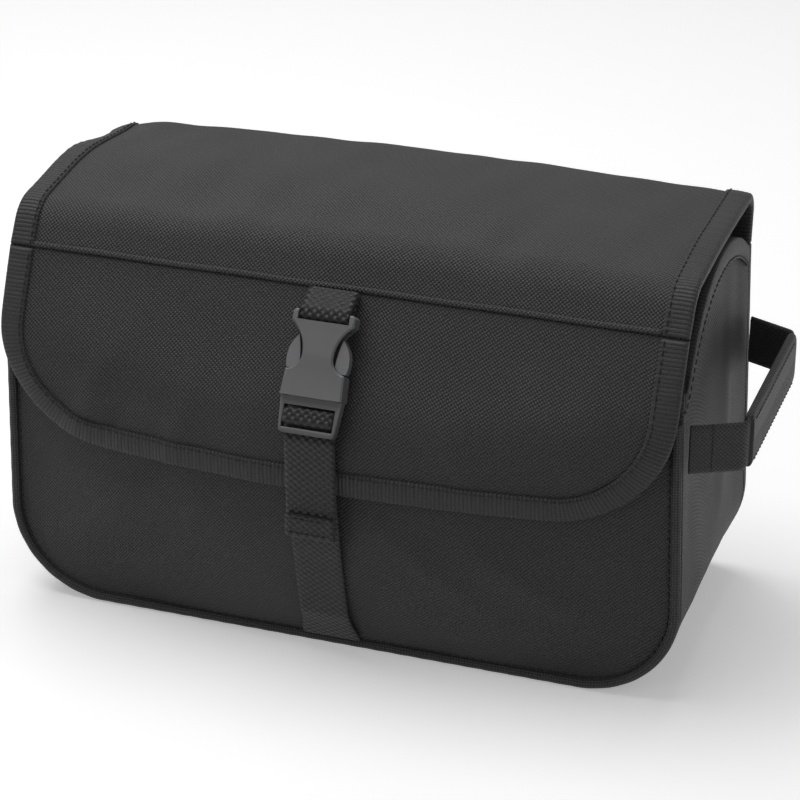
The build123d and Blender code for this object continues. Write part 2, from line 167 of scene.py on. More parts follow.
def outline(inset, top, count=(26, 18, 70)):
    """The U of the body's seam, from the right end's top round the base to the left end's top."""
    side, bend, base = count
    foot = float(half_width(CORNER))
    down = np.linspace(top, CORNER, side)
    right = np.stack([half_width(down) - inset, down], 1)
    turn = np.linspace(0, math.pi / 2, bend)[1:]
    reach = CORNER - inset
    arc = np.stack([foot - CORNER + reach * np.cos(turn), CORNER - reach * np.sin(turn)], 1)
    run = np.linspace(foot - CORNER, CORNER - foot, base)[1:-1]
    floor = np.stack([run, np.full_like(run, inset)], 1)
    left = np.concatenate([right, arc])[::-1] * (-1, 1)
    return np.concatenate([right, arc, floor, left])


def rounded(corners, radii, steps=9):
    """A run of lines with its inner corners rounded, as points."""
    corners = [np.array(corner, float) for corner in corners]
    points = [corners[0]]
    for before, here, after, radius in zip(corners, corners[1:], corners[2:], radii):
        back = (before - here) / np.linalg.norm(before - here)
        ahead = (after - here) / np.linalg.norm(after - here)
        half = 0.5 * math.acos(float(np.clip(back @ ahead, -1, 1)))
        if radius <= 0 or half > 1.569:
            points.append(here)
            continue
        bisector = (back + ahead) / np.linalg.norm(back + ahead)
        middle = here + bisector * radius / math.sin(half)
        start = here + back * radius / math.tan(half) - middle
        end = here + ahead * radius / math.tan(half) - middle
        sweep_angle = math.acos(float(np.clip(start @ end / radius**2, -1, 1)))
        for share in np.linspace(0, 1, steps):
            mix = np.array((math.sin((1 - share) * sweep_angle), math.sin(share * sweep_angle)))
            points.append(middle + (start * mix[0] + end * mix[1]) / math.sin(sweep_angle))
    points.append(corners[-1])
    return np.array(points)


def moved_in(corners, distance):
    """The same run of lines moved square to itself, to the right of its direction."""
    corners = np.array(corners, float)
    runs = np.diff(corners, axis=0)
    runs /= np.linalg.norm(runs, axis=1)[:, None]
    sides = np.stack([runs[:, 1], -runs[:, 0]], 1)
    before = np.concatenate([sides[:1], sides])
    after = np.concatenate([sides, sides[-1:]])
    share = distance / (1 + np.sum(before * after, axis=1))
    return corners + (before + after) * share[:, None]


def flap_line(x, depth):
    """The flap's section over one place along the bag, split at its seam: front part and top part."""
    middle = 1 - (x / BODY_HALF) ** 2
    low = FLAP_LOW - TAPE_WIDTH
    corners = [
        (float(front_wall(low, x)) - 3.8, low),
        (SEAM[0] - 14.5 - 0.71 * BULGE * middle, SEAM[1] - 31.5 - 16.8 * middle),
        SEAM,
        (SEAM[0] + 9, BODY_HEIGHT - 4 + 2.5 * middle),
        (-5, BODY_HEIGHT + 5 * middle),
        (DEPTH_HALF + 1, BODY_HEIGHT + 2 * middle),
        (DEPTH_HALF - 0.4, BACK_TOP + 0.6),
    ]
    moved = moved_in(corners, depth)
    bends = [max(bend - depth, 0) for bend in FLAP_BENDS]
    front = rounded(moved[:3], bends[:1])
    top = rounded(moved[2:], bends[2:])
    return front, top


def resampled(points, count):
    """Points at even steps along a line."""
    length = np.concatenate([[0], np.cumsum(np.linalg.norm(np.diff(points, axis=0), axis=1))])
    steps = np.linspace(0, length[-1], count)
    return np.stack([np.interp(steps, length, points[:, axis]) for axis in range(points.shape[1])], 1)


class FlapFront:
    """The flap's hanging front, as a depth along Y over every place of its face."""

    def __init__(self, depth):
        self.xs = np.linspace(-BODY_HALF, BODY_HALF, 72)
        self.zs = np.linspace(68, 154, 120)
        lines = [flap_line(x, depth)[0] for x in self.xs]
        self.table = np.array([np.interp(self.zs, line[:, 1], line[:, 0]) for line in lines])

    def y(self, x, z):
        across = np.clip((x - self.xs[0]) / (self.xs[1] - self.xs[0]), 0, len(self.xs) - 1.001)
        up = np.clip((z - self.zs[0]) / (self.zs[1] - self.zs[0]), 0, len(self.zs) - 1.001)
        i, j = across.astype(int), up.astype(int)
        a, b = across - i, up - j
        table = self.table
        low = table[i, j] * (1 - a) + table[i + 1, j] * a
        high = table[i, j + 1] * (1 - a) + table[i + 1, j + 1] * a
        return low * (1 - b) + high * b


def creases(u, v, folds):
    """Soft folds in cloth: long low ridges, and dents where their height is negative."""
    total = 0
    for spot, angle, length, width, height in folds:
        turn = math.radians(angle)
        along = (u - spot[0]) * math.cos(turn) + (v - spot[1]) * math.sin(turn)
        across = (v - spot[1]) * math.cos(turn) - (u - spot[0]) * math.sin(turn)
        total = total + height * np.exp(-((across / width) ** 2) - (along / length) ** 2)
    return total


def ripple(u, v, seed):
    """Slow unevenness of cloth, the same on every run."""
    draw = np.random.default_rng(seed)
    total = np.zeros_like(np.asarray(u, float))
    for size in (85, 60, 42, 30, 22):
        turn, phase = draw.uniform(0, math.tau, 2)
        total += size / 160 * np.sin((u * math.cos(turn) + v * math.sin(turn)) * math.tau / size + phase)
    return total


def lengths(grid):
    """Distances along the rows and the columns of a grid, for its cloth's weave."""
    down = np.linalg.norm(np.diff(grid, axis=0), axis=2)
    over = np.linalg.norm(np.diff(grid, axis=1), axis=2)
    v = np.concatenate([np.zeros((1, grid.shape[1])), np.cumsum(down, axis=0)])
    u = np.concatenate([np.zeros((grid.shape[0], 1)), np.cumsum(over, axis=1)], axis=1)
    u -= u[:, u.shape[1] // 2][:, None]
    return u, v


def grid_normals(grid):
    """The outward side of a grid of points."""
    normal = np.cross(np.gradient(grid, axis=1), np.gradient(grid, axis=0))
    normal /= np.maximum(np.linalg.norm(normal, axis=2), 1e-9)[:, :, None]
    if np.sum(normal * (grid - BAG_MIDDLE)) < 0:
        normal = -normal
    return normal


def build(name, points, faces, uvs, material, body=None, stands_for=()):
    """One piece: its mesh in metres with its weave's coordinates, its finish and the body it rides on."""
    mesh = bpy.data.meshes.new(name)
    mesh.from_pydata([tuple(point * MM) for point in points], [], faces)
    layer = mesh.uv_layers.new(name="UVMap")
    corners = np.array([index for face in faces for index in face])
    layer.data.foreach_set("uv", (np.asarray(uvs)[corners] * MM).astype(np.float32).ravel())
    mesh.polygons.foreach_set("use_smooth", [True] * len(faces))
    mesh.validate()
    mesh.update()
    piece = bpy.data.objects.new(name, mesh)
    bpy.context.scene.collection.objects.link(piece)
    piece.data.materials.append(material)
    if body:
        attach(piece, body)
    if stands_for:
        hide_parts(*stands_for)
    return piece


def sheet_parts(grid, thickness, first=0):
    """Points, faces and weave coordinates of a cloth with thickness, from the grid of its outside."""
    normal = grid_normals(grid)
    inner = grid - normal * thickness
    rows, columns = grid.shape[:2]
    u, v = lengths(grid)
    points = np.concatenate([grid.reshape(-1, 3), inner.reshape(-1, 3)])
    uvs = np.concatenate([np.stack([u, v], 2).reshape(-1, 2)] * 2)
    probe = np.cross(grid[0, 1] - grid[0, 0], grid[1, 0] - grid[0, 0])
    outward = float(probe @ normal[0, 0]) > 0
    faces = []
    size = rows * columns
    for i in range(rows - 1):
        for j in range(columns - 1):
            a, b = i * columns + j, i * columns + j + 1
            c, d = b + columns, a + columns
            faces.append((a, b, c, d) if outward else (a, d, c, b))
            faces.append((a + size, d + size, c + size, b + size) if outward
                         else (a + size, b + size, c + size, d + size))
    rim = list(range(columns))
    rim += [i * columns + columns - 1 for i in range(1, rows)]
    rim += [(rows - 1) * columns + j for j in range(columns - 2, -1, -1)]
    rim += [i * columns for i in range(rows - 2, 0, -1)]
    for a, b in zip(rim, rim[1:] + rim[:1]):
        faces.append((b, a, a + size, b + size) if outward else (a, b, b + size, a + size))
    return points, [tuple(index + first for index in face) for face in faces], uvs


def cloth(name, grids, thickness, material, body=None, stands_for=()):
    """A sewn cloth made from one or more grids."""
    points, faces, uvs, count = [], [], [], 0
    for grid in grids:
        some_points, some_faces, some_uvs = sheet_parts(grid, thickness, count)
        points.append(some_points)
        faces += some_faces
        uvs.append(some_uvs)
        count += len(some_points)
    return build(name, np.concatenate(points), faces, np.concatenate(uvs), material, body, stands_for)


def tube_parts(rings, first=0, capped=True):
    """Points, faces and coordinates of a closed section swept along a path, from its rings."""
    count, sides = rings.shape[:2]
    around = np.linalg.norm(rings - np.roll(rings, 1, axis=1), axis=2).mean(0)
    v = np.concatenate([[0], np.cumsum(around[1:])])
    run = np.linalg.norm(np.diff(rings.mean(1), axis=0), axis=1)
    u = np.concatenate([[0], np.cumsum(run)])
    uvs = np.stack(np.meshgrid(u, v, indexing="ij"), 2).reshape(-1, 2)
    middle = rings[0].mean(0)
    ahead = rings[1].mean(0) - middle
    turn = np.cross(rings[0, 0] - middle, rings[0, 1] - middle)
    swap = float(turn @ ahead) < 0
    faces = []
    for i in range(count - 1):
        for j in range(sides):
            a, b = i * sides + j, i * sides + (j + 1) % sides
            quad = (a, b, b + sides, a + sides)
            faces.append(quad[::-1] if swap else quad)
    if capped:
        start, end = tuple(range(sides)), tuple(range((count - 1) * sides, count * sides))
        faces.append(start if swap else start[::-1])
        faces.append(end[::-1] if swap else end)
    return rings.reshape(-1, 3), [tuple(index + first for index in face) for face in faces], uvs


def swept(name, rings, material, body=None, stands_for=()):
    """A piece with one closed section along a path."""
    points, faces, uvs = tube_parts(rings)
    return build(name, points, faces, uvs, material, body, stands_for)


def many_swept(name, all_rings, material, body):
    """Many small swept pieces as one, such as a row of stitches."""
    points, faces, uvs, count = [], [], [], 0
    for rings in all_rings:
        some_points, some_faces, some_uvs = tube_parts(rings, count)
        points.append(some_points)
        faces += some_faces
        uvs.append(some_uvs)
        count += len(some_points)
    return build(name, np.concatenate(points), faces, np.concatenate(uvs), material, body)


def path_frames(path, across):
    """Two directions square to a path at each of its points: the given one and the other."""
    ahead = np.gradient(path, axis=0)
    ahead /= np.linalg.norm(ahead, axis=1)[:, None]
    across = np.broadcast_to(np.asarray(across, float), path.shape)
    out = np.cross(ahead, across)
    out /= np.linalg.norm(out, axis=1)[:, None]
    return across, out


def rings_along(path, across, section, widths=None):
    """Rings of a section carried along a path, the section given as places across and out."""
    side, out = path_frames(path, across)
    scale = np.ones(len(path)) if widths is None else widths
    section = np.asarray(section, float)
    rings = path[:, None, :] + section[None, :, 0, None] * side[:, None, :] * scale[:, None, None]
    return rings + section[None, :, 1, None] * out[:, None, :]


def strap_section(half, thick):
    """The section of woven strap, with thinner selvedges."""
    low, high = [], []
    for share in np.linspace(-1, 1, 15):
        edge = thick / 2 * (1 - max(0, abs(share) - 0.93) / 0.07 * 0.6)
        low.append((share * half, -edge))
        high.append((share * half, edge))
    return low + high[::-1]


def round_section(radius, sides=16):
    """A circle of section points."""
    turns = np.arange(sides) * math.tau / sides
    return np.stack([radius * np.cos(turns), radius * np.sin(turns)], 1)


def stitch_row(path, out, pitch=3.4, length=2.5, radius=0.3, sunk=0.05):
    """Rings of every stitch along a path, each a short bowed thread with tapered ends."""
    run = np.concatenate([[0], np.cumsum(np.linalg.norm(np.diff(path, axis=0), axis=1))])
    rings = []
    for start in np.arange(pitch / 2, run[-1] - pitch / 2, pitch):
        steps = start + np.linspace(-0.5, 0.5, 6) * length
        line = np.stack([np.interp(steps, run, path[:, axis]) for axis in range(3)], 1)
        face = np.array([np.interp(start, run, out[:, axis]) for axis in range(3)])
        face /= np.linalg.norm(face)
        bow = 1 - np.linspace(-1, 1, 6) ** 2
        line = line + face * (bow * radius * 0.9 - sunk)[:, None]
        ahead = (line[-1] - line[0]) / np.linalg.norm(line[-1] - line[0])
        side = np.cross(ahead, face)
        circle = round_section(1, 6)
        size = radius * np.sqrt(np.clip(bow + 0.12, 0, 1))
        rings.append(line[:, None, :] + size[:, None, None] * (
            circle[None, :, 0, None] * side + circle[None, :, 1, None] * face))
    return rings


class Wire:
    """A shader socket that takes part in sums, so that maths reads as maths."""

    def __init__(self, shade, socket):
        self.shade = shade
        self.socket = socket

    def maths(self, operation, *values):
        return self.shade.node("ShaderNodeMath", {"operation": operation}, dict(enumerate(values)))

    def __add__(self, other):
        return self.maths("ADD", self, other)

    def __sub__(self, other):
        return self.maths("SUBTRACT", self, other)

    def __rsub__(self, other):
        return self.maths("SUBTRACT", other, self)

    def __mul__(self, other):
        return self.maths("MULTIPLY", self, other)

    def __pow__(self, other):
        return self.maths("POWER", self, other)

    __radd__ = __add__
    __rmul__ = __mul__

    def sine(self):
        return self.maths("SINE", self)

    def size(self):
        return self.maths("ABSOLUTE", self)

    def above(self, low, high):
        values = {"Value": self, "From Min": low, "From Max": high}
        return self.shade.node("ShaderNodeMapRange", {"clamp": True}, values)


class Shade:
    """The nodes of one material."""

    def __init__(self, name):
        self.material = bpy.data.materials.new(name)
        self.material.use_nodes = True
        self.tree = self.material.node_tree
        self.surface = self.tree.nodes["Principled BSDF"]

    def node(self, kind, settings=None, values=None, output=0):
        made = self.tree.nodes.new(kind)
        for key, value in (settings or {}).items():
            setattr(made, key, value)
        self.fill(made, values or {})
        return Wire(self, made.outputs[output])

    def fill(self, made, values):
        for key, value in values.items():
            if isinstance(value, Wire):
                self.tree.links.new(value.socket, made.inputs[key])
            else:
                made.inputs[key].default_value = value

    def weave_place(self):
        place = self.node("ShaderNodeUVMap", {"uv_map": "UVMap"})
        parts = self.tree.nodes.new("ShaderNodeSeparateXYZ")
        self.tree.links.new(place.socket, parts.inputs[0])
        return place, Wire(self, parts.outputs[0]), Wire(self, parts.outputs[1])

    def noise(self, place, scale, detail=2.0):
        values = {"Vector": place, "Scale": scale, "Detail": detail}
        return self.node("ShaderNodeTexNoise", {}, values) - 0.5

    def blend(self, share, low, high):
        made = self.tree.nodes.new("ShaderNodeMix")
        made.data_type = "RGBA"
        for key, value in ((0, share), (6, low), (7, high)):
            self.fill(made, {key: value})
        return Wire(self, made.outputs[2])

    def bump(self, height, strength, distance):
        values = {"Height": height, "Strength": strength, "Distance": distance}
        return self.node("ShaderNodeBump", {}, values)

    def finish(self, **values):
        self.fill(self.surface, {key.replace("_", " "): value for key, value in values.items()})
        return self.material


def tinted(colour, share):
    """A lighter or darker shade of a colour."""
    return (colour[0] * share, colour[1] * share, colour[2] * share, 1.0)


def plain_weave(u, v, pitch):
    """Crossing yarns whose tops stand in diagonal rows."""
    tops = (u * (math.pi / pitch)).sine() * (v * (math.pi / pitch)).sine()
    return tops * 0.5 + 0.5


def ribs(u, v, pitch):
    """Cords across a tape, with a fine yarn along it."""
    cords = (u * (math.pi / pitch)).sine().size() ** 0.6
    return cords * 0.8 + (v * (math.pi / (0.45 * pitch))).sine().size() * 0.2


def raised_picks(u, v, pitch):
    """Rows of raised picks along a strap, each row half a step from the next."""
    row = (v * (math.pi / pitch)).sine()
    pick = (u * (math.pi / (0.8 * pitch))).sine()
    return (row * pick * 0.5 + 0.5) ** 1.5


def bias_weave(u, v, pitch):
    """Cloth cut on the bias and wound on a cord."""
    return plain_weave(u + v, u - v, pitch * 1.41)


def fabric(name, colour, pattern, pitch, contrast, depth, roughness, sheen):
    """Woven cloth: its pattern shows in colour, roughness and relief, over slow wear and fuzz."""
    shade = Shade(name)
    place, u, v = shade.weave_place()
    height = pattern(u, v, pitch * MM)
    fuzz = shade.noise(place, 1300.0, 2.0)
    wear = shade.noise(place, 24.0, 3.0)
    tone = height * contrast + fuzz * 1.1 + wear * 0.25 + (0.46 - contrast / 2)
    return shade.finish(
        Base_Color=shade.blend(tone.above(0.0, 1.0), tinted(colour, 0.08), tinted(colour, 2.3)),
        Roughness=(roughness - height * 0.1 + wear * 0.08),
        Normal=shade.bump(height + fuzz * 0.5, 0.8, depth * MM),
        Sheen_Weight=sheen,
        Sheen_Roughness=0.5,
        Specular_IOR_Level=0.35,
    )


def moulded(name, colour):
    """Satin moulded plastic with a fine grain, and a painted highlight that makes its sharp edges paler."""
    shade = Shade(name)
    place = shade.node("ShaderNodeTexCoord", {}, {}, 3)
    grain = shade.noise(place, 2600.0, 2.0)
    wear = shade.noise(place, 90.0, 4.0)
    # Painted highlight: the pointiest edges are lightened in the base colour, standing in for the light that
    # catches them.
    edge_highlight = shade.node("ShaderNodeNewGeometry", {}, {}, "Pointiness").above(0.5, 0.62)
    tone = edge_highlight * 0.7 + wear * 0.3 + 0.25
    return shade.finish(
        Base_Color=shade.blend(tone.above(0.0, 1.0), tinted(colour, 0.75), tinted(colour, 1.9)),
        Roughness=0.4 + wear * 0.12 + grain * 0.05,
        Normal=shade.bump(grain + wear * 0.3, 0.12, 0.08 * MM),
    )


def settings():
    """The add-on's own sizes and colours."""
    return bpy.context.scene.toiletry_bag


finishes = {}


def finish_of(kind):
    """One material for each finish, made the first time that it is asked for."""
    if kind not in finishes:
        s = settings()
        recipes = {
            "shell": lambda: fabric("shell_weave", s.shell, plain_weave, s.weave, 1.0, 0.42, 0.62, 0.12),
            "lining": lambda: fabric("lining_weave", s.lining, plain_weave, 0.45, 0.5, 0.1, 0.6, 0.05),
            "tape": lambda: fabric("grosgrain", s.tape, ribs, s.rib, 0.8, 0.45, 0.6, 0.1),
            "piping": lambda: fabric("piping_weave", s.shell, bias_weave, s.weave, 0.9, 0.3, 0.6, 0.1),
            "webbing": lambda: fabric("webbing_weave", s.webbing, raised_picks, 1.7, 1.0, 0.6, 0.5, 0.1),
            "handle": lambda: fabric("handle_weave", s.shell, plain_weave, s.weave, 0.8, 0.3, 0.58, 0.12),
            "thread": lambda: fabric("thread", s.thread, bias_weave, 0.3, 0.5, 0.1, 0.5, 0.0),
            "plastic": lambda: moulded("satin_plastic", s.plastic),
        }
        finishes[kind] = recipes[kind]()
    return finishes[kind]


def front_grid(inset, top, lumpy):
    """The body's front, a stuffed crown between the seams."""
    bend = np.linspace(0, math.pi / 2, 16)
    low = CORNER - (CORNER - inset) * np.cos(bend)
    heights = np.concatenate([low, np.linspace(CORNER, top, 44)[1:]])
    foot = float(half_width(CORNER)) - CORNER
    reach = np.where(
        heights < CORNER,
        foot + np.sqrt(np.clip((CORNER - inset) ** 2 - (CORNER - heights) ** 2, 0, None)),
        half_width(heights) - inset,
    )
    x = np.linspace(-1, 1, 121)[None, :] * reach[:, None]
    z = np.broadcast_to(heights[:, None], x.shape)
    y = front_wall(z, x, inset)
    if lumpy:
        free = np.clip((82 - z) / 18, 0, 1) * np.clip(z / 10, 0, 1)
        free = free * np.clip((reach[:, None] - np.abs(x)) / 14, 0, 1)
        push = 0.5 * ripple(x, z, 4) + creases(x, z, BODY_FOLDS)
        y = y - free * push * np.where(np.abs(x) < 14, 0.3, 1.0)
    return np.stack([x, y, z], 2)


def gusset_grid(inset, lumpy):
    """The strip round the body's ends and base."""
    columns = []
    for y in np.linspace(-DEPTH_HALF + inset, DEPTH_HALF - inset, 41):
        line = outline(inset, float(mouth_height(y)))
        columns.append(np.stack([line[:, 0], np.full(len(line), y), line[:, 1]], 1))
    grid = np.stack(columns, 1)
    if lumpy:
        x, y, z = grid[:, :, 0], grid[:, :, 1], grid[:, :, 2]
        free = np.clip((DEPTH_HALF - np.abs(y)) / 16, 0, 1) * np.clip((z - 10) / 30, 0, 1)
        swell = 1.6 + 0.7 * ripple(y, z, 9) + creases(y, z, END_FOLDS)
        grid[:, :, 0] = x - np.sign(x) * free * swell * 0.8
    return grid


def back_grid(inset, lumpy):
    """The body's plain back."""
    grid = front_grid(inset, BACK_TOP, False)
    x, z = grid[:, :, 0], grid[:, :, 2]
    y = np.full_like(x, DEPTH_HALF - inset)
    if lumpy:
        free = np.clip(z / 12, 0, 1) * np.clip((148 - z) / 12, 0, 1) * np.clip((136 - np.abs(x)) / 14, 0, 1)
        y = y + free * (0.8 + 0.5 * ripple(x, z, 12))
    return np.stack([x, y, z], 2)


def flap_top_grid(depth, inset, lumpy):
    """The flap's top, from its back seam over the crown to the seam in front."""
    xs = np.linspace(-1, 1, 111) * (FLAP_HALF - inset)
    grid = np.stack([
        np.column_stack([np.full(70, x), resampled(flap_line(x, depth)[1], 70)]) for x in xs
    ], 1)
    return shaped_top(grid) if lumpy else grid


def droop(x, y):
    """How far the left rear corner hangs."""
    end = np.clip((-x - 108) / 29, 0, 1)
    rear = np.clip((y - 4) / 40, 0, 1)
    return 6.5 * end**2 * rear * (3 - 2 * rear) * rear


def shaped_top(grid):
    """The top's soft unevenness, the dent left of its middle and its hanging rear corner."""
    x, y, z = grid[..., 0], grid[..., 1], grid[..., 2]
    free = np.clip((y + 48) / 14, 0, 1) * np.clip((z - 151) / 12, 0, 1)
    lift = 0.6 * ripple(x, y, 21) + creases(x, y, TOP_FOLDS)
    shaped = grid.copy()
    shaped[..., 2] = z + free * lift - droop(x, y)
    return shaped


def flap_half(z, inset):
    """Half the flap's width at a height, with its round lower corners."""
    middle = FLAP_LOW + FLAP_CORNER
    round_part = np.sqrt(np.clip((FLAP_CORNER - inset) ** 2 - (middle - z) ** 2, 0, None))
    return np.where(z < middle, FLAP_HALF - FLAP_CORNER + round_part, FLAP_HALF - inset)


def front_push(x, z):
    """Soft folds in the flap's hanging front."""
    free = np.clip((150 - z) / 14, 0, 1) * np.clip((np.abs(x) - 13) / 12, 0, 1)
    return free * (0.45 * ripple(x, z, 31) + creases(x, z, FRONT_FOLDS))


def flap_front_grid(depth, inset):
    """The flap's front, down to its round lower corners."""
    surface = FlapFront(depth)
    middle = FLAP_LOW + FLAP_CORNER
    low = middle - (FLAP_CORNER - inset) * np.cos(np.linspace(0, math.pi / 2, 30))
    heights = np.concatenate([low, np.linspace(middle, SEAM[1] - 0.5 * depth, 18)[1:]])
    reach = flap_half(heights, inset)
    x = np.linspace(-1, 1, 141)[None, :] * reach[:, None]
    z = np.broadcast_to(heights[:, None], x.shape)
    return np.stack([x, surface.y(x, z) - front_push(x, z), z], 2)


def flap_edge(inset):
    """The flap's lower outline, from the seam's right end round to its left end."""
    middle = FLAP_LOW + FLAP_CORNER
    reach = FLAP_CORNER - inset
    side = np.linspace(SEAM[1] - 0.6, middle, 18)
    turn = np.linspace(0, math.pi / 2, 48)[1:]
    run = np.linspace(FLAP_HALF - FLAP_CORNER, FLAP_CORNER - FLAP_HALF, 150)[1:-1]
    right = np.concatenate([
        np.stack([np.full_like(side, FLAP_HALF - inset), side], 1),
        np.stack([FLAP_HALF - FLAP_CORNER + reach * np.cos(turn), middle - reach * np.sin(turn)], 1),
    ])
    base = np.stack([run, np.full_like(run, FLAP_LOW + inset)], 1)
    return np.concatenate([right, base, right[::-1] * (-1, 1)])


# The folded tape's section, as places in from the flap's edge and under its outer face
TAPE_SECTION = [(inset, -TAPE) for inset in (10, 8, 6, 4, 2, 0.6)]
TAPE_SECTION += [(0, -0.3), (-0.3, 0.6), (-0.3, 1.8), (0, FLAP_THICK + 0.3)]
TAPE_SECTION += [(inset, FLAP_THICK + TAPE) for inset in (0.6, 2, 4, 6, 8, 10)]
TAPE_SECTION += [(10, FLAP_THICK), (10, 0)]


def tape_swell(inset, depth, run):
    """The tape's slight scallops between stitches and its puffed middle, outward on both of its sides."""
    if inset < 0.1:
        return np.zeros_like(run)
    puff = 0.35 * math.sin(math.pi * inset / TAPE_WIDTH)
    outward = 1 if depth <= 0 else -1
    return outward * (puff + 0.12 * np.sin(run * math.tau / 6.8))


def front_tape_rings():
    """The tape round the flap's front."""
    sides = []
    for inset, depth in TAPE_SECTION:
        surface = FlapFront(depth)
        edge = flap_edge(inset)
        swell = tape_swell(inset, depth, np.linspace(0, 520, len(edge)))
        y = surface.y(edge[:, 0], edge[:, 1]) - front_push(edge[:, 0], edge[:, 1]) - swell
        sides.append(np.stack([edge[:, 0], y, edge[:, 1]], 1))
    return np.stack(sides, 1)


def top_tape_rings(side):
    """The tape along one end of the flap's top."""
    sides = []
    for inset, depth in TAPE_SECTION:
        x = side * (FLAP_HALF - inset)
        line = resampled(flap_line(x, depth)[1], 90)
        swell = tape_swell(inset, depth, np.linspace(0, 150, len(line)))
        points = np.column_stack([np.full(len(line), x), line])
        points[:, 2] += swell * np.clip((line[:, 0] + 50) / 10, 0, 1)
        sides.append(points)
    return shaped_top(np.stack(sides, 1))


def buckle_place(along, deep):
    """A place in the bag's middle plane, given up the buckle and in from its outer face."""
    up = (math.sin(BUCKLE_LEAN), math.cos(BUCKLE_LEAN))
    return (
        BUCKLE_SPOT[0] + up[0] * along + up[1] * deep,
        BUCKLE_SPOT[1] + up[1] * along - up[0] * deep,
    )


def side_path(corners, step=0.8):
    """A path in the bag's middle plane through rounded corners, each a place and its radius."""
    line = rounded([place for place, radius in corners], [radius for place, radius in corners[1:-1]], 8)
    length = float(np.linalg.norm(np.diff(line, axis=0), axis=1).sum())
    line = resampled(line, int(length / step))
    return np.column_stack([np.zeros(len(line)), line])


def make_body():
    cloth("body_front_cloth", [front_grid(0, FRONT_TOP, True)], PANEL,
          finish_of("shell"), "bag", ["front_panel"])
    cloth("body_gusset_cloth", [gusset_grid(0, True)], PANEL,
          finish_of("shell"), "bag", ["gusset"])
    cloth("body_back_cloth", [back_grid(0, True)], PANEL,
          finish_of("shell"), "bag", ["back_panel"])
    inner = [front_grid(LINED, FRONT_TOP, False), gusset_grid(LINED + 1.2, False), back_grid(LINED, False)]
    cloth("body_lining_cloth", inner, 0.5, finish_of("lining"), "bag", ["lining"])


def make_mouth_tape():
    back = np.linspace(MOUTH_POINTS[2][0], MOUTH_POINTS[0][0], 60)
    height = mouth_height(back)
    right = np.stack([half_width(height), back, height], 1)
    xs = np.linspace(1, -1, 120) * (float(half_width(FRONT_TOP)) - 1.5)
    front = np.stack([xs, front_wall(FRONT_TOP, xs), np.full_like(xs, FRONT_TOP)], 1)
    left = right[::-1] * (-1, 1, 1)
    path = np.concatenate([right, front, left])
    out = np.concatenate([
        np.tile((1.0, 0.0, 0.0), (len(right), 1)),
        np.tile((0.0, -1.0, 0.0), (len(front), 1)),
        np.tile((-1.0, 0.0, 0.0), (len(left), 1)),
    ])
    for corner in (len(right), len(right) + len(front)):
        mixed = out[corner - 1] + out[corner]
        out[corner - 2:corner + 2] = mixed / np.linalg.norm(mixed)
    section = [(0.8, -8), (1.0, -4), (0.8, 0.2), (0.3, 0.8), (-2.8, 0.8), (-3.5, 0.2), (-3.7, -4),
               (-3.5, -8), (-2.9, -8), (-2.9, -0.2), (0, -0.2), (0, -8)]
    section = np.array(section, float)
    up = np.array((0.0, 0.0, 1.0))
    rings = path[:, None, :] + section[None, :, 0, None] * out[:, None, :] + section[None, :, 1, None] * up
    swept("mouth_tape", rings, finish_of("tape"), "bag", ["mouth_binding"])
    seam = path + out * 0.9 + up * -7.0
    many_swept("mouth_stitches", stitch_row(seam, out), finish_of("thread"), "bag")


def make_piping():
    for name, side, top in (("front", -1, 121.0), ("back", 1, 147.0)):
        line = outline(PIPING_RADIUS, top, (60, 40, 150))
        path = np.stack([line[:, 0], np.full(len(line), side * PIPING_Y), line[:, 1]], 1)
        path[:, 1] += 0.09 * np.sin(np.arange(len(path)) * 0.9)
        rings = rings_along(path, (0, 1, 0), round_section(PIPING_RADIUS))
        swept(f"{name}_piping_cord", rings, finish_of("piping"), "bag", [f"{name}_piping"])
        flange = outline(4.6, top, (60, 40, 150))
        inner = np.stack([flange[:, 0], np.full(len(flange), side * (DEPTH_HALF + 0.2)), flange[:, 1]], 1)
        inner[:, 1] = np.where(side < 0, front_wall(inner[:, 2], inner[:, 0]) - 0.15, inner[:, 1])
        out = np.tile((0.0, float(side), 0.0), (len(inner), 1))
        stitches = stitch_row(inner, out, 3.4, 2.4, 0.26)
        many_swept(f"{name}_seam_stitches", stitches, finish_of("thread"), "bag")


def make_flap_top():
    top = cloth("flap_top_cloth", [flap_top_grid(0, TAPE, True)], FLAP_CLOTH,
                finish_of("shell"), None, ["flap_top_panel"])
    lining = cloth("flap_top_lining_cloth", [shaped_top(flap_top_grid(FLAP_CLOTH + 0.1, TAPE, False))], 0.6,
                   finish_of("lining"), None, ["flap_top_lining"])
    tapes = []
    for name, side in (("left", -1), ("right", 1)):
        rings = top_tape_rings(side)
        tapes.append(swept(f"flap_top_tape_{name}", rings, finish_of("tape"), None,
                           [f"flap_top_binding_{name}"]))
        path = rings[:, 1] * 0.7 + rings[:, 0] * 0.3
        out = np.gradient(path, axis=0)
        out = np.stack([np.zeros(len(out)), -out[:, 2], out[:, 1]], 1)
        out *= np.sign(np.sum(out * (path - BAG_MIDDLE), axis=1))[:, None]
        out /= np.linalg.norm(out, axis=1)[:, None]
        tapes.append(many_swept(f"flap_top_stitches_{name}", stitch_row(path + out * 0.1, out),
                                finish_of("thread"), None))
    for piece in (top, lining, *tapes):
        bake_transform(piece)
    xs = np.linspace(-1, 1, 160) * (FLAP_HALF - TAPE_WIDTH)
    sway = 0.12 * np.sin(xs / 9.0)
    ridge = np.stack([xs, np.full_like(xs, SEAM[0] + 0.15), SEAM[1] + 1.1 + sway], 1)
    section = round_section(1.0, 12) * (1.1, 0.6)
    swept("flap_seam_fold", rings_along(ridge, (0, 0.53, 0.85), section),
          finish_of("shell"), "flap_top")


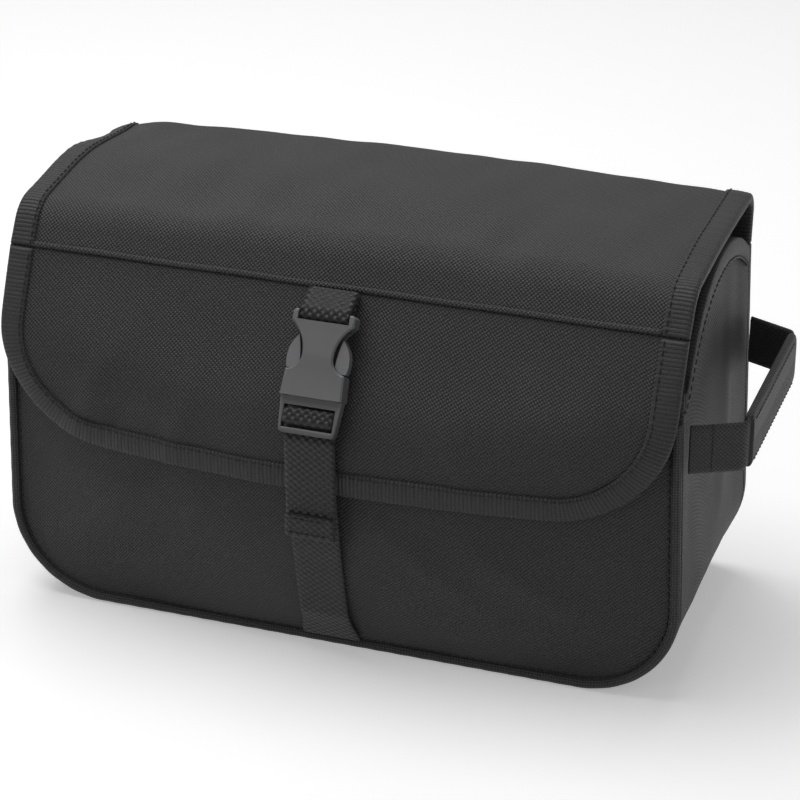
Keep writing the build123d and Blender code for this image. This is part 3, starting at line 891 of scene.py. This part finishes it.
def make_flap_front():
    front = cloth("flap_front_cloth", [flap_front_grid(0, TAPE)], FLAP_CLOTH,
                  finish_of("shell"), None, ["flap_front_panel"])
    lining = cloth("flap_front_lining_cloth", [flap_front_grid(FLAP_CLOTH + 0.1, TAPE)], 0.6,
                   finish_of("lining"), None, ["flap_front_lining"])
    rings = front_tape_rings()
    tape = swept("flap_front_tape", rings, finish_of("tape"), None, ["flap_front_binding"])
    path = rings[:, 1] * 0.7 + rings[:, 0] * 0.3 - (0, 0.1, 0)
    out = np.tile((0.0, -1.0, 0.0), (len(path), 1))
    stitches = many_swept("flap_front_stitches", stitch_row(path, out),
                          finish_of("thread"), None)
    for piece in (front, lining, tape, stitches):
        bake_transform(piece)


def make_upper_webbing():
    path = side_path((
        (buckle_place(56.4, 7.0), 0),
        (buckle_place(47.9, 1.4), 1),
        (buckle_place(44.1, 1.4), 1),
        (buckle_place(44.1, 6.0), 1),
        (buckle_place(47.9, 6.0), 1),
        (buckle_place(56.2, 8.4), 0),
    ), 0.5)
    rings = rings_along(path, (1, 0, 0), strap_section(WEBBING_HALF, WEBBING_THICK))
    swept("buckle_loop_webbing", rings, finish_of("webbing"), "flap_front", ["upper_webbing"])


def make_lower_webbing():
    def standing(z, stand):
        return float(front_wall(z, 0)) - stand

    tail = standing(78, 6.2) - 1.5
    path = side_path((
        ((-59.8, 5.2), 0),
        ((standing(20, 2.8), 20), 12),
        ((standing(54, 2.4), 54), 12),
        ((standing(78, 6.2), 78), 12),
        (buckle_place(-1.5, 8.7), 4),
        (buckle_place(9.4, 8.7), 1),
        (buckle_place(9.4, 1.7), 1),
        (buckle_place(3.8, 1.7), 1),
        (buckle_place(3.8, 7.2), 1),
        (buckle_place(-1.92, 7.2), 3),
        ((tail, 82), 8),
        ((tail, 61.5), 0.7),
        ((tail - 1.5, 61.5), 0.7),
        ((tail - 1.5, 71), 0),
    ), 0.6)
    run = np.arange(len(path)) * 0.6
    widths = 1 + 0.2 * np.exp(-((run / 9) ** 2))
    rings = rings_along(path, (1, 0, 0), strap_section(WEBBING_HALF, WEBBING_THICK), widths)
    strap = swept("strap_webbing", rings, finish_of("webbing"), None, ["lower_webbing"])
    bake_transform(strap)
    rows = []
    for height in (63.2, 69.4):
        xs = np.linspace(-8.6, 8.6, 30)
        line = np.stack([xs, np.full(30, tail - 2.15), np.full(30, height)], 1)
        rows += stitch_row(line, np.tile((0.0, -1.0, 0.0), (30, 1)), 2.2, 1.7, 0.26)
    many_swept("strap_hem_stitches", rows, finish_of("thread"), "strap")


def make_handle():
    root = float(half_width(HANDLE_RISE - HANDLE_HALF)) + 0.3 + HANDLE_THICK / 2
    reach = root + 19
    line = rounded([(root, -51), (reach, -41), (reach, 44), (root, 52)], [4, 4], 14)
    line = resampled(line, 260)
    path = np.column_stack([line, np.full(len(line), HANDLE_RISE)])
    section = strap_section(HANDLE_HALF, HANDLE_THICK)
    split = root + 7
    near = path[:, 0] < split + 0.4
    first = int(np.argmin(near))
    last = len(near) - int(np.argmin(near[::-1]))
    pieces = (
        ("handle_tab_front", path[:first + 1], ["handle_end_front"]),
        ("handle_band", path[first - 1:last + 1], ["handle_strap"]),
        ("handle_tab_rear", path[last - 1:], ["handle_end_rear"]),
    )
    for name, part, stands_for in pieces:
        rings = rings_along(part, (0, 0, 1), section)
        tab = "tab" in name
        body = None if tab else "handle"
        piece = swept(name, rings, finish_of("handle"), body, stands_for)
        if tab:
            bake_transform(piece)
    low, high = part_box("handle_grip")
    ys = np.linspace(low.y / MM, high.y / MM, 60)
    middle = 0.5 * (low.x + high.x) / MM
    grip = np.column_stack([np.full(60, middle), ys, np.full(60, HANDLE_RISE)])
    half_x, half_z = 0.5 * (high.x - low.x) / MM, 0.5 * (high.z - low.z) / MM
    turns = np.arange(40) * math.tau / 40
    square = np.stack([
        half_z * np.sign(np.sin(turns)) * np.abs(np.sin(turns)) ** 0.35,
        half_x * np.sign(np.cos(turns)) * np.abs(np.cos(turns)) ** 0.6,
    ], 1)
    ends = 1 - 0.06 * np.exp(-((np.minimum(ys - ys[0], ys[-1] - ys) / 1.2) ** 2))
    rings = rings_along(grip, (0, 0, 1), square, ends)
    swept("handle_grip_sleeve", rings, finish_of("handle"), "handle", ["handle_grip"])
    rows = []
    for offset in (-8.6, 8.6):
        seam = grip + (half_x + 0.02, 0, offset)
        rows += stitch_row(seam[2:-2], np.tile((1.0, 0.0, 0.0), (56, 1)), 3.2, 2.3, 0.24)
    many_swept("handle_stitches", rows, finish_of("thread"), "handle")


def make_buckle():
    for name in ("buckle_socket", "buckle_plug", "latch_left", "latch_right"):
        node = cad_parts[name]
        node.data.materials.clear()
        node.data.materials.append(finish_of("plastic"))


def make_stage():
    s = settings()
    scene = bpy.context.scene
    shade = Shade("pale_floor")
    path = shade.tree.nodes.new("ShaderNodeLightPath")
    seen = Wire(shade, path.outputs["Is Camera Ray"]) + Wire(shade, path.outputs["Is Glossy Ray"])
    seen = seen + Wire(shade, path.outputs["Is Transmission Ray"])
    dim, pale = (0.16, 0.16, 0.16, 1.0), (s.floor, s.floor, s.floor, 1.0)
    glow = shade.blend(seen.above(0.0, 1.0), (0, 0, 0, 1), (s.glow, s.glow, s.glow, 1.0))
    shade.finish(Base_Color=shade.blend(seen.above(0.0, 1.0), dim, pale), Roughness=0.9,
                 Specular_IOR_Level=0.0, Emission_Color=glow, Emission_Strength=1.0)
    mesh = bpy.data.meshes.new("floor")
    far = 9.0
    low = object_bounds()[0][2] - 0.0002
    corners = [(-far, -far, low), (far, -far, low), (far, far, low), (-far, far, low)]
    mesh.from_pydata(corners, [], [(0, 1, 2, 3)])
    floor = bpy.data.objects.new("floor", mesh)
    scene.collection.objects.link(floor)
    mesh.materials.append(shade.material)
    floor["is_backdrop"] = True

    world = bpy.data.worlds.new("studio")
    scene.world = world
    world.use_nodes = True
    nodes, links = world.node_tree.nodes, world.node_tree.links
    base = nodes["Background"]
    base.inputs["Color"].default_value = (1, 1, 1, 1)
    base.inputs["Strength"].default_value = s.fill_light
    white = nodes.new("ShaderNodeBackground")
    white.inputs["Strength"].default_value = 1.0
    white.inputs["Color"].default_value = (1, 1, 1, 1)
    light_path = nodes.new("ShaderNodeLightPath")
    choose = nodes.new("ShaderNodeMixShader")
    links.new(light_path.outputs["Is Camera Ray"], choose.inputs[0])
    links.new(base.outputs[0], choose.inputs[1])
    links.new(white.outputs[0], choose.inputs[2])
    links.new(choose.outputs[0], nodes["World Output"].inputs["Surface"])

    target = Vector(CAMERA_AIM)
    for name, place, size, power in (
        ("key", (-0.35, 0.1, 1.35), 1.1, s.key_light),
        ("side", (1.3, -0.7, 0.7), 0.9, 0.06 * s.key_light),
        ("front", (-0.7, -1.5, 0.75), 0.8, 0.15 * s.key_light),
    ):
        lamp = bpy.data.lights.new(name, "AREA")
        lamp.shape = "SQUARE"
        lamp.size = size
        lamp.energy = power
        holder = bpy.data.objects.new(name, lamp)
        scene.collection.objects.link(holder)
        holder.location = place
        holder.rotation_euler = (target - Vector(place)).to_track_quat("-Z", "Y").to_euler()

    camera = bpy.data.cameras.new("camera")
    camera.sensor_width = 36.0
    camera.lens = CAMERA_LENS
    view = bpy.data.objects.new("camera", camera)
    scene.collection.objects.link(view)
    level = math.cos(CAMERA_RISE)
    away = Vector((
        math.sin(CAMERA_TURN) * level,
        -math.cos(CAMERA_TURN) * level,
        math.sin(CAMERA_RISE),
    ))
    view.location = target + away * CAMERA_AWAY
    view.rotation_euler = (-away).to_track_quat("-Z", "Y").to_euler()
    scene.camera = view
    scene.view_settings.view_transform = "Standard"


class BagSettings(bpy.types.PropertyGroup):
    """Sizes and colours of the bag's finishes."""
    weave: bpy.props.FloatProperty(
        name="Weave", description="Spacing of the shell's yarns in millimetres", default=0.82, min=0.2)
    rib: bpy.props.FloatProperty(
        name="Rib", description="Spacing of the binding tape's ribs in millimetres", default=1.6, min=0.3)
    shell: bpy.props.FloatVectorProperty(
        name="Shell", description="Shell cloth", subtype="COLOR", size=3, default=(0.036, 0.036, 0.038))
    lining: bpy.props.FloatVectorProperty(
        name="Lining", description="Lining cloth", subtype="COLOR", size=3, default=(0.03, 0.03, 0.033))
    tape: bpy.props.FloatVectorProperty(
        name="Tape", description="Binding tape", subtype="COLOR", size=3, default=(0.027, 0.027, 0.0288))
    webbing: bpy.props.FloatVectorProperty(
        name="Webbing", description="Strap webbing", subtype="COLOR", size=3, default=(0.029, 0.029, 0.031))
    thread: bpy.props.FloatVectorProperty(
        name="Thread", description="Sewing thread", subtype="COLOR", size=3, default=(0.022, 0.022, 0.024))
    plastic: bpy.props.FloatVectorProperty(
        name="Plastic", description="Buckle plastic", subtype="COLOR", size=3, default=(0.108, 0.109, 0.112))
    floor: bpy.props.FloatProperty(
        name="Floor", description="How pale the floor is", default=0.93, min=0, max=1, subtype="FACTOR")
    glow: bpy.props.FloatProperty(
        name="Floor glow", description="How far the floor that is seen is lifted to white", default=0.3)
    key_light: bpy.props.FloatProperty(
        name="Key light", description="Power of the overhead lamp", default=12.5, unit="POWER")
    fill_light: bpy.props.FloatProperty(
        name="Fill light", description="Strength of the light from all round", default=0.26)


class BAG_OT_stage(bpy.types.Operator):
    """Floor, lamps, world and camera"""
    bl_idname = "bag.stage"
    bl_label = "Stage"

    def execute(self, context):
        make_stage()
        return {"FINISHED"}


class BAG_OT_body(bpy.types.Operator):
    """Front, gusset, back and lining"""
    bl_idname = "bag.body"
    bl_label = "Body"

    def execute(self, context):
        make_body()
        return {"FINISHED"}


class BAG_OT_mouth(bpy.types.Operator):
    """Tape folded over the mouth's edge"""
    bl_idname = "bag.mouth"
    bl_label = "Mouth tape"

    def execute(self, context):
        make_mouth_tape()
        return {"FINISHED"}


class BAG_OT_piping(bpy.types.Operator):
    """Covered cords along both seams"""
    bl_idname = "bag.piping"
    bl_label = "Piping"

    def execute(self, context):
        make_piping()
        return {"FINISHED"}


class BAG_OT_flap_top(bpy.types.Operator):
    """Top cloth, its tapes and the folded seam"""
    bl_idname = "bag.flap_top"
    bl_label = "Flap top"

    def execute(self, context):
        make_flap_top()
        return {"FINISHED"}


class BAG_OT_flap_front(bpy.types.Operator):
    """Hanging front cloth and its tape"""
    bl_idname = "bag.flap_front"
    bl_label = "Flap front"

    def execute(self, context):
        make_flap_front()
        return {"FINISHED"}


class BAG_OT_loop(bpy.types.Operator):
    """Webbing from the seam to the socket"""
    bl_idname = "bag.loop"
    bl_label = "Buckle loop"

    def execute(self, context):
        make_upper_webbing()
        return {"FINISHED"}


class BAG_OT_strap(bpy.types.Operator):
    """Webbing from the base through the plug"""
    bl_idname = "bag.strap"
    bl_label = "Strap"

    def execute(self, context):
        make_lower_webbing()
        return {"FINISHED"}


class BAG_OT_handle(bpy.types.Operator):
    """Band, tabs and grip sleeve"""
    bl_idname = "bag.handle"
    bl_label = "Handle"

    def execute(self, context):
        make_handle()
        return {"FINISHED"}


class BAG_OT_buckle(bpy.types.Operator):
    """Moulded finish of the buckle's parts"""
    bl_idname = "bag.buckle"
    bl_label = "Buckle"

    def execute(self, context):
        make_buckle()
        return {"FINISHED"}


OPERATORS = (
    BAG_OT_stage,
    BAG_OT_body,
    BAG_OT_mouth,
    BAG_OT_piping,
    BAG_OT_flap_top,
    BAG_OT_flap_front,
    BAG_OT_loop,
    BAG_OT_strap,
    BAG_OT_handle,
    BAG_OT_buckle,
)


class BAG_PT_panel(bpy.types.Panel):
    """Lists the pieces and their settings."""
    bl_label = "Toiletry Bag"
    bl_idname = "BAG_PT_panel"
    bl_space_type = "VIEW_3D"
    bl_region_type = "UI"
    bl_category = "Bag"

    def draw(self, context):
        for key in BagSettings.__annotations__:
            self.layout.prop(context.scene.toiletry_bag, key)
        for kind in OPERATORS:
            self.layout.operator(kind.bl_idname)


CLASSES = (BagSettings, *OPERATORS, BAG_PT_panel)


def register():
    for kind in CLASSES:
        bpy.utils.register_class(kind)
    bpy.types.Scene.toiletry_bag = bpy.props.PointerProperty(type=BagSettings)


def unregister():
    del bpy.types.Scene.toiletry_bag
    for kind in reversed(CLASSES):
        bpy.utils.unregister_class(kind)


def main():
    register()
    for kind in OPERATORS:
        group, name = kind.bl_idname.split(".")
        getattr(getattr(bpy.ops, group), name)()


if __name__ == "__main__":
    main()
